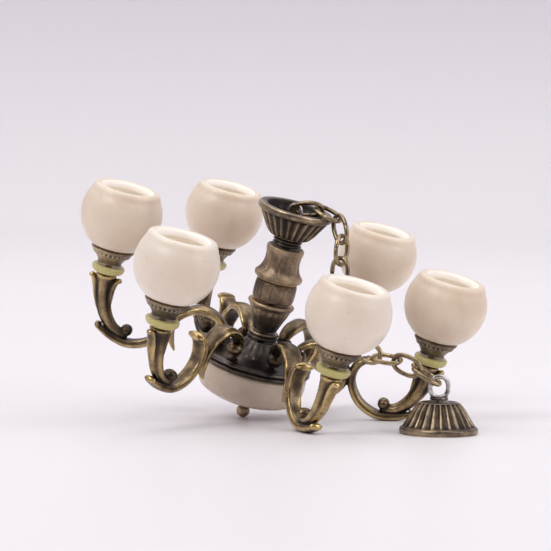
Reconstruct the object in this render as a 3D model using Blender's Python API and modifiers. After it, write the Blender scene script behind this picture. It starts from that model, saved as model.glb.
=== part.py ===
"""Six-arm dolls' house chandelier, laid over on a table with its chain and ceiling canopy.

The chandelier is modelled upright in millimetres, with height counted from the bottom of its
finial, and then leaned over until the finial and the two lowest arms share the table.  The chain
runs from an eye inside the top cup, over the cup's rim, to a canopy that lies rim down.
"""
import math

import bmesh
import bpy
from mathutils import Matrix, Quaternion, Vector

MM = 0.001
GAP = 0.3  # left between any two pieces that touch

# The chandelier, upright
ARM_NAMES = ("right", "back_right", "back_left", "left", "front_left", "front_right")
ARM_STEP = math.radians(60)
LEAN_HEADING = math.radians(-36.6)  # it leans this way, midway between right and front_right
LAMP_REACH = 28.7  # from the column's axis to a lamp's axis
ROD_RADIUS = 0.6
ROD_BOTTOM, ROD_TOP = 4.2, 33.9
BORE = ROD_RADIUS + GAP
FINIAL_BALL = 1.15  # radius of the ball it stands on

# One lamp, stacked upwards on its arm
WASHER_BOTTOM, WASHER_THICKNESS, WASHER_RADIUS = 18.1, 1.4, 2.85
CUP_BOTTOM = WASHER_BOTTOM + WASHER_THICKNESS + GAP
CUP_HEIGHT, CUP_RADIUS, CUP_WAIST = 2.75, 3.6, 2.05
GLOBE_RADIUS, GLOBE_WALL = 7.0, 1.2
GLOBE_BASE, GLOBE_LIP = -5.85, 4.8  # flat base and lip crest, from the globe's centre
GLOBE_MOUTH = 4.25
GLOBE_CENTRE = CUP_BOTTOM + CUP_HEIGHT + GAP - GLOBE_BASE
PIN_RADIUS = 0.5
PIN_BORE = PIN_RADIUS + GAP

# One arm, in its own XZ plane: X outwards, Z up
ARM_FOOT, FOOT_RADIUS, FOOT_STRETCH = (6.7, 12.9), 1.0, 1.6
PEG_RADIUS, PEG_LENGTH = 0.5, 2.6
SCROLL_CENTRE = (22.7, 13.2)
SCROLL = (  # heading from the scroll's centre in degrees, radius, half thickness
    (152, 5.0, 0.45), (165, 5.7, 0.85), (195, 6.15, 0.75), (230, 6.1, 0.85), (265, 6.1, 0.85),
    (295, 6.2, 0.75), (319, 6.9, 0.45),
)
ARCH = (  # x, z, half thickness
    (6.6, 12.6, 0.4), (6.6, 14.2, 0.55), (8.4, 15.8, 0.75), (11.3, 16.3, 0.9),
    (13.9, 14.8, 0.8), (15.5, 12.2, 0.75), (15.3, 10.0, 0.6), (14.2, 8.2, 0.25),
)
TRUMPET = (
    (23.3, 8.3, 0.8), (25.6, 9.1, 1.0), (27.5, 11.2, 1.15), (28.5, 14.2, 1.4),
)
TRUMPET_TOP, TRUMPET_RADIUS = WASHER_BOTTOM - GAP, 1.95
SCROLL_WIDEN, ARCH_WIDEN = 1.7, 2.0  # width over thickness
CURL_CENTRE, CURL_RADIUS, CURL_STRETCH = (23.0, 9.2), 1.05, 1.3

# Fluted bell, used as the top cup and as the ceiling canopy
BELL_RADIUS, BELL_TOP_RADIUS, BELL_HEIGHT = 6.5, 2.7, 5.2
BELL_MOUTH, BELL_BAND, BELL_WALL = 5.0, 1.0, 0.8
FLUTES, FLUTE_DEPTH = 24, 0.3
BELL_FLOOR, BELL_FLUTES_FROM = 3.4, 3.6  # radii: of the hollow's flat end, and of the flutes
TOP_CUP_BOTTOM = 32.7

# Chain
WIRE = 0.8
LINK_LENGTH, LINK_WIDTH = 5.7, 3.9
LINK_ROLLS = (44.2, 116.2, 49.2, 128.5, 35, 116, 20, 98, 8, 110, 20, 104)  # degrees from facing forwards
LINK_SIDES = 12
EYE_WIDTH, EYE_HEIGHT, EYE_BOTTOM = 3.6, 4.6, 34.2
EYE_TURN = math.radians(-39.5)  # of the eye's plane about the column
LOOP_WIDTH, LOOP_HEIGHT = 3.8, 4.2
LOOP_TURN = math.radians(6)
CANOPY_LOOP_BASE = BELL_HEIGHT + GAP
STEM_BOTTOM = -1.1  # of the loop's stem, from the loop's base
COLLAR_RADIUS, COLLAR_HEIGHT = 1.5, 0.6

# Where neighbouring links touch, in millimetres from the point under the finial: from the eye, over
# the rim of the top cup, down behind the front right lamp and out to the canopy's loop
CHAIN_PITCH = 3.8
CHAIN_ROUTE = (
    (8.89, -6.99, 35.94),
    (12.51, -8.12, 36.2),
    (15.57, -9.59, 34.5),
    (16.49, -11.24, 31.21),
    (16.09, -12.07, 27.52),
    (16.0, -12.5, 23.75),
    (16.1, -13.4, 20.05),
    (17.1, -14.7, 16.6),
    (19.2, -16.1, 13.7),
    (22.15, -17.6, 12.05),
    (25.35, -19.6, 11.55),
    (28.7, -21.1, 10.27),
    (31.9, -22.0, 8.3),
)

FORWARDS = Vector((0, -1, 0))

collection = None
guides = None


def start():
    """Empties the scene and makes the two collections."""
    global collection, guides
    for old in list(bpy.data.objects):
        bpy.data.objects.remove(old, do_unlink=True)
    collection = bpy.data.collections.new("miniature_chandelier")
    guides = bpy.data.collections.new("cutters")
    for made in (collection, guides):
        bpy.context.scene.collection.children.link(made)


def material(name, colour, roughness, metallic):
    made = bpy.data.materials.new(name)
    made.use_nodes = True
    shader = made.node_tree.nodes["Principled BSDF"]
    shader.inputs["Base Color"].default_value = (*colour, 1)
    shader.inputs["Roughness"].default_value = roughness
    shader.inputs["Metallic"].default_value = metallic
    return made


def place(name, mesh, slot, parent=None, matrix=None):
    """One node: a mesh in the object's collection, under a parent empty."""
    made = bpy.data.objects.new(name, mesh)
    collection.objects.link(made)
    if not mesh.materials:
        mesh.materials.append(slot)
    made.parent = parent
    if matrix is not None:
        made.matrix_local = matrix
    return made


def empty(name, parent=None, matrix=None):
    made = bpy.data.objects.new(name, None)
    made.empty_display_size = 2 * MM
    collection.objects.link(made)
    made.parent = parent
    if matrix is not None:
        made.matrix_local = matrix
    return made


def baked(shape):
    """The evaluated mesh of a scratch object, welded, and the scratch object removed."""
    bpy.context.view_layer.update()
    graph = bpy.context.evaluated_depsgraph_get()
    mesh = bpy.data.meshes.new_from_object(shape.evaluated_get(graph), depsgraph=graph)
    mesh.transform(shape.matrix_world)
    work = bmesh.new()
    work.from_mesh(mesh)
    bmesh.ops.remove_doubles(work, verts=work.verts, dist=0.001 * MM)
    work.to_mesh(mesh)
    work.free()
    bpy.data.objects.remove(shape, do_unlink=True)
    return mesh


def guide(name, data):
    made = bpy.data.objects.new(name, data)
    made.hide_render = True
    made.display_type = "WIRE"
    guides.objects.link(made)
    return made


def smooth(mesh, angle=40):
    mesh.shade_smooth()
    mesh.set_sharp_from_angle(angle=math.radians(angle))
    return mesh


def turned(profile, steps, closed=True):
    """Turns (radius, height) points round Z. A closed profile runs down its outer side first."""
    mesh = bpy.data.meshes.new("profile")
    points = [(r * MM, 0, h * MM) for r, h in profile]
    edges = [(i, i + 1) for i in range(len(points) - 1)]
    if closed:
        edges.append((len(points) - 1, 0))
    mesh.from_pydata(points, edges, [])
    shape = guide("turning", mesh)
    screw = shape.modifiers.new("Screw", "SCREW")
    screw.axis = "Z"
    screw.steps = steps
    screw.render_steps = steps
    screw.use_merge_vertices = True
    screw.merge_threshold = 0.001 * MM
    return smooth(baked(shape))


def smooth_path(points, steps):
    """A Catmull-Rom curve through tuples of any length, ends included."""
    path = []
    last = len(points) - 1
    for i in range(last):
        a, b, c, d = (Vector(points[min(max(k, 0), last)]) for k in (i - 1, i, i + 1, i + 2))
        for n in range(steps):
            t = n / steps
            path.append(
                0.5 * (2 * b + (c - a) * t + (2 * a - 5 * b + 4 * c - d) * t**2
                       + (3 * b - a - 3 * c + d) * t**3)
            )
    path.append(Vector(points[last]))
    return path


def tube(points, radii, cyclic=False, resolution=2):
    """A round wire along points, in millimetres, with a radius at each."""
    curve = bpy.data.curves.new("wire", "CURVE")
    curve.dimensions = "3D"
    curve.bevel_depth = MM
    curve.bevel_resolution = resolution
    curve.render_resolution_u = 0
    curve.use_fill_caps = not cyclic
    spline = curve.splines.new("POLY")
    spline.points.add(len(points) - 1)
    for point, where, radius in zip(spline.points, points, radii):
        point.co = (*(Vector(where) * MM), 1)
        point.radius = radius
    spline.use_cyclic_u = cyclic
    return baked(guide("wire", curve))


def flat_bar(outline, widen, steps=2, resolution=1):
    """A rounded bar along (x, z, half thickness) points in the XZ plane, widened along Y."""
    path = smooth_path(outline, steps)
    mesh = tube([(p[0], 0, p[1]) for p in path], [p[2] for p in path], resolution=resolution)
    mesh.transform(Matrix.Diagonal((1, widen, 1, 1)))
    return mesh


def ball(centre, radius, stretch):
    """A ball centred in the XZ plane, stretched along Y by stretch."""
    work = bmesh.new()
    bmesh.ops.create_uvsphere(work, u_segments=8, v_segments=5, radius=radius * MM)
    mesh = bpy.data.meshes.new("ball")
    work.to_mesh(mesh)
    work.free()
    seat = Matrix.Translation((centre[0] * MM, 0, centre[1] * MM))
    mesh.transform(seat @ Matrix.Diagonal((1, stretch, 1, 1)))
    return mesh


def peg(x, bottom, top, radius, sides):
    """An upright cylinder on the X axis."""
    work = bmesh.new()
    bmesh.ops.create_cone(work, cap_ends=True, segments=sides, radius1=radius * MM,
                          radius2=radius * MM, depth=(top - bottom) * MM)
    mesh = bpy.data.meshes.new("peg")
    work.to_mesh(mesh)
    work.free()
    mesh.transform(Matrix.Translation(Vector((x, 0, (top + bottom) / 2)) * MM))
    return mesh


def combined(first, others, operation="UNION"):
    """One mesh made of several by Boolean, with the scratch objects cleared away."""
    shape = guide("combined", first)
    tools = [guide("tool", mesh) for mesh in others]
    for tool in tools:
        cut = shape.modifiers.new("Boolean", "BOOLEAN")
        cut.operation = operation
        cut.object = tool
    mesh = baked(shape)
    for tool in tools:
        bpy.data.objects.remove(tool, do_unlink=True)
    return smooth(mesh)


# ---- the column, from the bottom up


def bead(outer, steps=20, bore=BORE):
    """A turned bead on the rod: its outer profile from top to bottom, and a bore."""
    return turned([*outer, (bore, outer[-1][1]), (bore, outer[0][1])], steps)


def facets(mesh, count, depth, bottom, top, beyond=1.5 * BORE):
    """Presses shallow flutes into what lies beyond a radius, between two heights."""
    steps = 2 * count
    for vertex in mesh.vertices:
        x, y, z = vertex.co
        radius = math.hypot(x, y)
        turn = round(math.atan2(y, x) / (2 * math.pi) * steps) % 2
        if turn and radius > beyond * MM and bottom * MM < z < top * MM:
            vertex.co.x *= 1 - depth * MM / radius
            vertex.co.y *= 1 - depth * MM / radius
    return mesh


def finial():
    stud = [(0, ROD_BOTTOM - GAP), (ROD_RADIUS, ROD_BOTTOM - GAP), (ROD_RADIUS, 2.5)]
    neck = [(1.5, 2.4), (1.5, 2.1), (0.8, 1.9)]
    lower = [(FINIAL_BALL * math.sin(a), FINIAL_BALL + FINIAL_BALL * math.cos(a))
             for a in (math.radians(d) for d in (60, 90, 120, 150))]
    return turned([*stud, *neck, *lower, (0, 0)], 14, closed=False)


def dish():
    outer = [(9.0, 9.3), (9.3, 8.0), (9.2, 6.5), (8.7, 4.9), (7.7, 4.2), (6.6, 3.7), (3.7, 2.95),
             (1.6, 2.7)]
    return bead(outer, 24)


def hub_cap():
    outer = [(2.6, 14.2), (3.3, 13.6), (4.4, 12.3), (5.6, 11.5), (8.5, 11.3), (9.3, 11.0),
             (9.6, 10.6), (9.3, 10.25), (9.6, 9.95), (9.2, 9.6)]
    cap = bead(outer, 24)
    holes = []
    for i in range(6):
        hole = peg(ARM_FOOT[0], 9.0, 12.5, PEG_RADIUS + GAP, 10)
        hole.transform(Matrix.Rotation(i * ARM_STEP, 4, "Z"))
        holes.append(hole)
    return combined(cap, holes, "DIFFERENCE")


def base_ring():
    return bead([(2.2, 15.7), (2.7, 15.45), (2.45, 15.1), (2.7, 14.8), (2.3, 14.5)])


def lower_baluster():
    return bead([(3.6, 21.1), (4.0, 20.7), (3.7, 20.2), (3.1, 18.6), (2.4, 16.8), (2.0, 16.0)])


def fluted_band():
    band = bead([(3.3, 24.8), (3.6, 24.5), (3.6, 21.7), (3.3, 21.4)], 24)
    return facets(band, 12, 0.3, 21.5, 24.7)


def upper_baluster():
    column = bead([(2.6, 31.0), (3.2, 30.7), (3.1, 29.8), (3.1, 28.0), (3.6, 26.8), (4.1, 25.9),
                   (4.1, 25.4), (3.5, 25.1)], 20)
    return facets(column, 10, 0.2, 26.0, 30.5)


def neck_ring():
    return bead([(2.1, 32.4), (2.5, 32.15), (2.2, 31.85), (2.5, 31.6), (2.2, 31.3)])


def bell(bore):
    """A fluted bell standing on its rim, with a hole through its flat top."""
    top, rim = BELL_HEIGHT, BELL_RADIUS
    outer = [(BELL_TOP_RADIUS + 0.4, top), (BELL_TOP_RADIUS + 1.2, top - 0.5),
             (rim - 0.5, 1.4), (rim, BELL_BAND), (rim - 0.05, 0)]
    inner = [(BELL_MOUTH, 0), (BELL_FLOOR, top - BELL_WALL)]
    shell = turned([*outer, *inner, (bore, top - BELL_WALL), (bore, top)], 2 * FLUTES)
    return facets(shell, FLUTES, FLUTE_DEPTH, BELL_BAND + 0.1, top - 0.1, BELL_FLUTES_FROM)


def link_outline(length, width):
    """Centreline of an oval link, long in X, in the XZ plane."""
    long, short = (length - WIRE) / 2, (width - WIRE) / 2
    points = []
    for i in range(LINK_SIDES):
        turn = 2 * math.pi * (i + 0.5) / LINK_SIDES
        c, s = math.cos(turn), math.sin(turn)
        points.append((long * math.copysign(abs(c) ** 0.85, c), 0,
                       short * math.copysign(abs(s) ** 0.85, s)))
    return points


def link_mesh():
    outline = link_outline(LINK_LENGTH, LINK_WIDTH)
    return smooth(tube(outline, [WIRE / 2] * len(outline), cyclic=True))


def ring_on_stem(width, height, stem_bottom=0, collared=False):
    """An upright wire ring, its bottom at Z 0, on a stem down to stem_bottom."""
    outline = [(z, 0, x + height / 2) for x, _, z in link_outline(height, width)]
    ring = tube(outline, [WIRE / 2] * len(outline), cyclic=True)
    extras = [peg(0, stem_bottom, WIRE / 2, WIRE / 2, 8)]
    if collared:
        extras.append(peg(0, 0, COLLAR_HEIGHT, COLLAR_RADIUS, 14))
    return combined(ring, extras)


# ---- an arm and its lamp, in the arm's own XZ plane



def arm():
    """Cast arm: scroll, arched leaf and trumpet, with a peg for the hub and a bore on top."""
    cx, cz = SCROLL_CENTRE
    outline = [(cx + r * math.cos(math.radians(a)), cz + r * math.sin(math.radians(a)), half)
               for a, r, half in SCROLL]
    scroll = flat_bar(outline, SCROLL_WIDEN)
    arch = flat_bar(ARCH, ARCH_WIDEN)
    trumpet = flat_bar((*TRUMPET, (LAMP_REACH, TRUMPET_TOP, TRUMPET_RADIUS)), 1.0)
    whole = combined(scroll, [
        arch,
        trumpet,
        ball(ARM_FOOT, FOOT_RADIUS, FOOT_STRETCH),
        ball(CURL_CENTRE, CURL_RADIUS, CURL_STRETCH),
        peg(ARM_FOOT[0], ARM_FOOT[1] - PEG_LENGTH, ARM_FOOT[1], PEG_RADIUS, 8),
    ])
    return combined(whole, [peg(LAMP_REACH, TRUMPET_TOP - 2.0, TRUMPET_TOP + 1, PIN_BORE, 8)],
                    "DIFFERENCE")


def washer():
    low, high = WASHER_BOTTOM, WASHER_BOTTOM + WASHER_THICKNESS
    rim = WASHER_RADIUS
    return bead([(rim - 0.5, high), (rim, (low + high) / 2), (rim - 0.5, low)], 16, PIN_BORE)


def lamp_cup():
    low, high = CUP_BOTTOM, CUP_BOTTOM + CUP_HEIGHT
    outer = [(CUP_RADIUS - 0.3, high), (CUP_RADIUS, high - 0.25), (CUP_RADIUS - 0.1, high - 0.8),
             (2.7, low + 1.2), (CUP_WAIST, low)]
    return bead(outer, 16, PIN_BORE)


def globe():
    """Thick ball with a flat base, a wide rounded mouth and a pin hole in its floor."""
    centre, wall = GLOBE_CENTRE, GLOBE_WALL
    outer = [(GLOBE_MOUTH + 0.25, GLOBE_LIP - 0.1), (5.0, GLOBE_LIP), (5.5, 4.33)]
    for angle in (70, 90, 110, 128):
        turn = math.radians(angle)
        outer.append((GLOBE_RADIUS * math.sin(turn), GLOBE_RADIUS * math.cos(turn)))
    outer.append((3.75, GLOBE_BASE))
    floor = GLOBE_BASE + wall
    hollow = [(PIN_BORE, GLOBE_BASE), (PIN_BORE, floor), (3.2, floor)]
    inner = GLOBE_RADIUS - wall
    for angle in (118, 90, 62):
        turn = math.radians(angle)
        hollow.append((inner * math.sin(turn), inner * math.cos(turn)))
    hollow.append((GLOBE_MOUTH, GLOBE_LIP - 0.7))
    return turned([(r, h + centre) for r, h in (*outer, *hollow)], 16)


def lamp_pin():
    """Pin through the globe's floor, the cup and the washer into the arm, with a flat head."""
    head = GLOBE_CENTRE + GLOBE_BASE + GLOBE_WALL + GAP
    foot = TRUMPET_TOP - 1.6
    return turned([(0, head + 0.6), (1.5, head + 0.5), (1.6, head), (PIN_RADIUS, head),
                   (PIN_RADIUS, foot), (0, foot)], 10, closed=False)


# ---- assembly


def build_column(parent, brass, ivory, silver):
    for make in (finial, hub_cap, base_ring, lower_baluster, fluted_band, upper_baluster,
                 neck_ring):
        place(make.__name__, make(), brass, parent)
    place("ivory_dish", dish(), ivory, parent)
    rod = [(0, ROD_TOP), (ROD_RADIUS, ROD_TOP), (ROD_RADIUS, ROD_BOTTOM), (0, ROD_BOTTOM)]
    place("centre_rod", turned(rod, 10, closed=False), brass, parent)
    lift = Matrix.Translation((0, 0, (TOP_CUP_BOTTOM + BELL_HEIGHT) * MM))
    place("top_cup", bell(BORE), brass, parent, lift @ Matrix.Rotation(math.pi, 4, "X"))
    turn = Matrix.Translation((0, 0, EYE_BOTTOM * MM)) @ Matrix.Rotation(EYE_TURN, 4, "Z")
    place("hanging_eye", ring_on_stem(EYE_WIDTH, EYE_HEIGHT), silver, parent, turn)


def build_lamps(parent, brass, ivory, jade):
    meshes = (("arm", arm(), brass, 0), ("washer", washer(), jade, LAMP_REACH),
              ("lamp_cup", lamp_cup(), brass, LAMP_REACH), ("globe", globe(), ivory, LAMP_REACH),
              ("lamp_pin", lamp_pin(), brass, LAMP_REACH))
    for i, side in enumerate(ARM_NAMES):
        turn = Matrix.Rotation(i * ARM_STEP, 4, "Z")
        for kind, mesh, slot, reach in meshes:
            seat = turn @ Matrix.Translation((reach * MM, 0, 0))
            place(f"{kind}_{side}", mesh, slot, parent, seat)


def lowest(name):
    shape = bpy.data.objects[name]
    return min((shape.matrix_world @ v.co).z for v in shape.data.vertices)


def lean_over(chandelier):
    """Leans the chandelier until the finial and the right arm's foot are level, by halving."""
    head = Matrix.Rotation(LEAN_HEADING, 4, "Z")
    arms_start = Matrix.Rotation(ARM_STEP / 2, 4, "Z")
    low, high = 0.0, math.radians(45)
    for _ in range(40):
        lean = (low + high) / 2
        chandelier.matrix_local = head @ Matrix.Rotation(lean, 4, "Y") @ arms_start
        bpy.context.view_layer.update()
        if lowest("arm_right") > lowest("finial"):
            low = lean
        else:
            high = lean
    foot = chandelier.matrix_world @ Vector((0, 0, FINIAL_BALL * MM))
    drop = Vector((-foot.x, -foot.y, -lowest("finial")))
    chandelier.matrix_local = Matrix.Translation(drop) @ chandelier.matrix_local
    bpy.context.view_layer.update()


def chain_joints():
    """Where neighbouring links touch: each one pitch from the last, towards its place."""
    joints = [Vector(CHAIN_ROUTE[0])]
    for aim in CHAIN_ROUTE[1:]:
        way = (Vector(aim) - joints[-1]).normalized()
        joints.append(joints[-1] + CHAIN_PITCH * way)
    return joints


def link_frame(start, end, roll):
    """Axes of a link from start to end: X along it, Y square to its face."""
    along = (end - start).normalized()
    face = (FORWARDS - along * FORWARDS.dot(along)).normalized()
    face.rotate(Quaternion(along, math.radians(roll)))
    side = along.cross(face)
    return Matrix((along, face, side)).transposed().to_4x4()


def build_chain(parent, brass):
    """Each link's empty is on the end wire of the piece before it, with its Y along that wire."""
    joints = chain_joints()
    overlap = (LINK_LENGTH - WIRE - CHAIN_PITCH) / 2  # from a joint to either link's end wire
    mesh = link_mesh()
    wire = joints[0] + overlap * (joints[1] - joints[0]).normalized()
    swing = link_frame(joints[0], joints[1], LINK_ROLLS[0])
    for i, roll in enumerate(LINK_ROLLS):
        start, end = joints[i], joints[i + 1]
        frame = link_frame(start, end, roll)
        name = f"chain_link_{i + 1:02d}"
        hinge = Matrix.Translation(wire * MM) @ swing
        seat = Matrix.Translation((start + end) / 2 * MM) @ frame
        place(name, mesh, brass, empty(f"{name}_pivot", parent, hinge), hinge.inverted() @ seat)
        wire = end + overlap * (end - start).normalized()
        swing = frame @ Matrix.Rotation(math.pi / 2, 4, "X")
    return wire, Matrix.Translation(wire * MM) @ swing


def build_canopy(parent, brass, silver, wire, hinge):
    """Canopy on the table, its loop's middle over the end wire of the last link."""
    at = empty("canopy_pivot", parent, hinge)
    seat = hinge.inverted() @ Matrix.Translation(Vector((wire.x, wire.y, 0)) * MM)
    place("canopy", bell(WIRE / 2 + GAP), brass, at, seat)
    ring = ring_on_stem(LOOP_WIDTH, LOOP_HEIGHT, STEM_BOTTOM, collared=True)
    lift = Matrix.Translation((0, 0, CANOPY_LOOP_BASE * MM)) @ Matrix.Rotation(LOOP_TURN, 4, "Z")
    place("canopy_loop", ring, silver, at, seat @ lift)


def centre_on_origin(stand):
    """Moves everything so that the middle of the bottom of its box is the origin."""
    bpy.context.view_layer.update()
    corners = [o.matrix_world @ v.co for o in collection.objects if o.type == "MESH"
               for v in o.data.vertices]
    low = Vector(min(c[k] for c in corners) for k in range(3))
    high = Vector(max(c[k] for c in corners) for k in range(3))
    stand.location -= Vector(((low.x + high.x) / 2, (low.y + high.y) / 2, low.z))
    bpy.context.view_layer.update()


def main():
    start()
    brass = material("antique_brass", (0.30, 0.22, 0.13), 0.38, 1.0)
    ivory = material("ivory_resin", (0.83, 0.74, 0.64), 0.35, 0.0)
    jade = material("pale_jade_resin", (0.70, 0.68, 0.42), 0.3, 0.0)
    silver = material("silver_wire", (0.70, 0.68, 0.66), 0.25, 1.0)
    stand = empty("stand")
    chandelier = empty("chandelier", stand)
    build_column(chandelier, brass, ivory, silver)
    build_lamps(chandelier, brass, ivory, jade)
    lean_over(chandelier)
    wire, hinge = build_chain(stand, brass)
    build_canopy(stand, brass, silver, wire, hinge)
    centre_on_origin(stand)


main()
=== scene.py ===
"""Looks of a six-arm dolls' house chandelier: antique castings, resin globes, a wire chain."""
import math

import bmesh
import bpy
import numpy as np
from mathutils import Matrix, Vector

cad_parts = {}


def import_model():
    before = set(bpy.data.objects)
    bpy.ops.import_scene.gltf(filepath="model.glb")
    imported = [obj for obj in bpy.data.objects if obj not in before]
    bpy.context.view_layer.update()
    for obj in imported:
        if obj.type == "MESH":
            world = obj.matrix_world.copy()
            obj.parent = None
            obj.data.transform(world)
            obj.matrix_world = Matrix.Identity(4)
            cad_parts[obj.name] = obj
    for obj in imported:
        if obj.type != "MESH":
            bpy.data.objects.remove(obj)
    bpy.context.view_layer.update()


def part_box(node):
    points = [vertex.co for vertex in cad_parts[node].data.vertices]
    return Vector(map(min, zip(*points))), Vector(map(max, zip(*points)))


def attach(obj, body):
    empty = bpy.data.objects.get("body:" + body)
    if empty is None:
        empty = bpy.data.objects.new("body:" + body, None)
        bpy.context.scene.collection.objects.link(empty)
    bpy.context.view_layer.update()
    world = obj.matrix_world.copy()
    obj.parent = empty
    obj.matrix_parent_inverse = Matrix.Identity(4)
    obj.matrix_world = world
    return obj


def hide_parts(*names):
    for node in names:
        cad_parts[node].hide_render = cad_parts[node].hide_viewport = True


MM = 0.001
SIDES = ("right", "back_right", "back_left", "left", "front_left", "front_right")

# Heights and radii on the upright chandelier in millimetres, as in the CAD
ROD_BOTTOM, ROD_TOP, ROD_RADIUS = 4.2, 33.9, 0.6
BASE_RING = (2.7, 14.5, 2.4, 0.6)  # radius, bottom, waist and thickness of one roll
NECK_RING = (2.5, 31.3, 2.15, 0.55)
LAMP_REACH = 28.7
LAMP_SPIN = 2.3  # radians from one lamp to the next, so that their clouding differs
WASHER_BOTTOM, WASHER_THICKNESS, WASHER_RADIUS = 18.1, 1.4, 2.85
CUP_BOTTOM, CUP_HEIGHT, CUP_RADIUS, CUP_WAIST, DENTILS = 19.8, 2.75, 3.6, 2.05, 26
GLOBE_CENTRE, GLOBE_RADIUS, GLOBE_WALL = 28.7, 7.0, 1.3
GLOBE_BASE, GLOBE_LIP, GLOBE_MOUTH = -5.85, 4.8, 4.25
BELL_RADIUS, BELL_HEIGHT, BELL_MOUTH, BELL_WALL, BELL_FLUTES = 6.5, 5.2, 5.0, 0.8, 24
BELL_RIM = BELL_RADIUS - 0.08  # smaller than in the CAD, to clear the links that hang over it
TOP_CUP_BOTTOM = 32.7
BORE, PIN_BORE, CANOPY_BORE = 0.9, 0.8, 0.7
COLLAR_RADIUS, COLLAR_HEIGHT = 1.5, 0.6
WIRE = 0.8
DRAWN_WIRE = 0.96 * WIRE  # thinner than in the CAD, to clear its neighbours at the joints' limits
CHAIN_LINKS, LINK_LENGTH, LINK_WIDTH = 12, 5.7, 3.9
EYE_BOTTOM, EYE_WIDTH, EYE_HEIGHT, EYE_TURN = 34.2, 3.6, 4.6, math.radians(-39.5)
LOOP_BOTTOM, LOOP_WIDTH, LOOP_HEIGHT, LOOP_TURN = 5.5, 3.8, 4.2, math.radians(6)
LOOP_STEM_BOTTOM = -1.1  # from the foot of the loop

# The arm, in its own XZ plane with the column's axis at X 0
HUB_PEG_REACH, FOOT_REACH = 6.7, 6.9
SCROLL_CENTRE = (22.7, 13.2)
SCROLL = (  # heading from the scroll's centre in degrees, radius, half thickness, half width
    (148, 5.0, 0.3, 1.2), (154, 5.35, 0.7, 1.6), (168, 5.85, 0.85, 1.6), (195, 6.15, 0.8, 1.45),
    (230, 6.1, 0.85, 1.4), (265, 6.1, 0.85, 1.4), (295, 6.2, 0.75, 1.25), (312, 6.6, 0.6, 1.15),
    (321, 7.05, 0.45, 0.95),
)
ARCH = (  # x, z, half thickness, half width, from the tip on the scroll to the hub
    (14.1, 8.0, 0.18, 0.35), (14.9, 9.4, 0.5, 0.9), (15.45, 11.2, 0.72, 1.4),
    (15.2, 13.0, 0.78, 1.6), (13.9, 14.8, 0.8, 1.7), (11.3, 16.3, 0.9, 1.85),
    (8.4, 15.8, 0.75, 1.6), (6.65, 14.3, 0.6, 1.25), (6.35, 12.8, 0.5, 1.05),
)
TRUMPET = (  # x, z, half thickness, half width, from the scroll up to the washer
    (22.6, 8.3, 0.45, 0.6), (23.6, 8.35, 0.8, 0.9), (25.6, 9.1, 1.0, 1.1), (27.4, 11.2, 1.2, 1.3),
    (28.4, 14.2, 1.4, 1.45), (28.65, 16.2, 1.55, 1.6), (28.7, 17.8, 1.75, 1.75),
)
MOUTH_LEAF = (  # distance from the lamp's axis, drift towards the hub, z, half sizes
    (1.0, 0.8, 11.8, 0.25, 0.5), (1.3, 0.35, 13.8, 0.4, 0.8), (1.5, 0.1, 15.4, 0.5, 0.9),
    (1.9, 0, 16.7, 0.5, 0.85), (2.45, 0, 17.25, 0.4, 0.7), (2.8, 0, 16.9, 0.2, 0.4),
)
CURL_BALL = (23.0, 9.2, 1.05, 1.35)  # x, z, radius, half width
HUB_BALL = (7.1, 12.9, 1.15, 1.5)

# Castings: colour in the hollows, on the flats and on worn edges, then roughness and extra wear
METALS = {
    "antique_brass": ((0.02, 0.015, 0.012), (0.175, 0.126, 0.08), (0.6, 0.44, 0.2), 0.25, -0.11),
    "dark_brass": ((0.016, 0.013, 0.012), (0.13, 0.108, 0.095), (0.42, 0.36, 0.29), 0.24, -0.08),
    "umber_brass": ((0.02, 0.016, 0.014), (0.33, 0.243, 0.165), (0.64, 0.48, 0.27), 0.35, -0.05),
    # The lamp cups' brass is a lighter copy of the same brass: painted light on cups that sit in
    # the globes' shade.
    "lamp_cup_lit_brass": ((0.02, 0.016, 0.014), (0.25, 0.2, 0.145), (0.55, 0.43, 0.26), 0.32, -0.06),
    "fluted_brass": ((0.016, 0.012, 0.01), (0.16, 0.12, 0.088), (0.55, 0.42, 0.26), 0.3, -0.07),
    "chain_brass": ((0.05, 0.038, 0.026), (0.19, 0.148, 0.1), (0.46, 0.35, 0.2), 0.28, -0.1),
}

# Resins: the paler and the deeper tone, then roughness and subsurface weight
RESINS = {
    "ivory_dish": ((0.65, 0.54, 0.435), (0.53, 0.415, 0.315), 0.24, 0.2),
    "pale_globe": ((0.775, 0.7, 0.615), (0.715, 0.63, 0.535), 0.34, 0.8),
    "warm_globe": ((0.745, 0.65, 0.54), (0.665, 0.555, 0.435), 0.34, 0.8),
    "pale_jade": ((0.53, 0.47, 0.2), (0.45, 0.39, 0.14), 0.28, 0.5),
}

# Painted light and shade by height, as (height, amount) from the bottom up. A bell's heights are
# above its own rim.
HEIGHT_LIGHT_AND_SHADE = {
    "lower_baluster": ((16.0, -0.32), (18.3, -0.15), (20.3, 0.14), (21.1, 0.1)),
    "fluted_band": ((21.0, -0.08), (25.0, -0.08)),
    "upper_baluster": ((25.1, 0.08), (25.9, 0.24), (27.2, 0.08), (31.0, 0.1)),
    "top_cup": ((0.0, 0.15), (1.0, 0.1), (1.6, 0.0), (5.2, -0.05)),
    "canopy": ((0.0, 0.16), (1.2, 0.06), (5.2, 0.0)),
    "lamp_cup": ((19.8, 0.05), (21.5, 0.2), (22.5, 0.16)),
}

# Camera, in millimetres from the CAD origin
CAMERA_PLACE = (-1.5, -424.3, 45.5)
CAMERA_DIP = math.radians(2.81)
CAMERA_ROLL = math.radians(-0.7)
LENS, SENSOR = 163.3, 36.0

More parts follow.
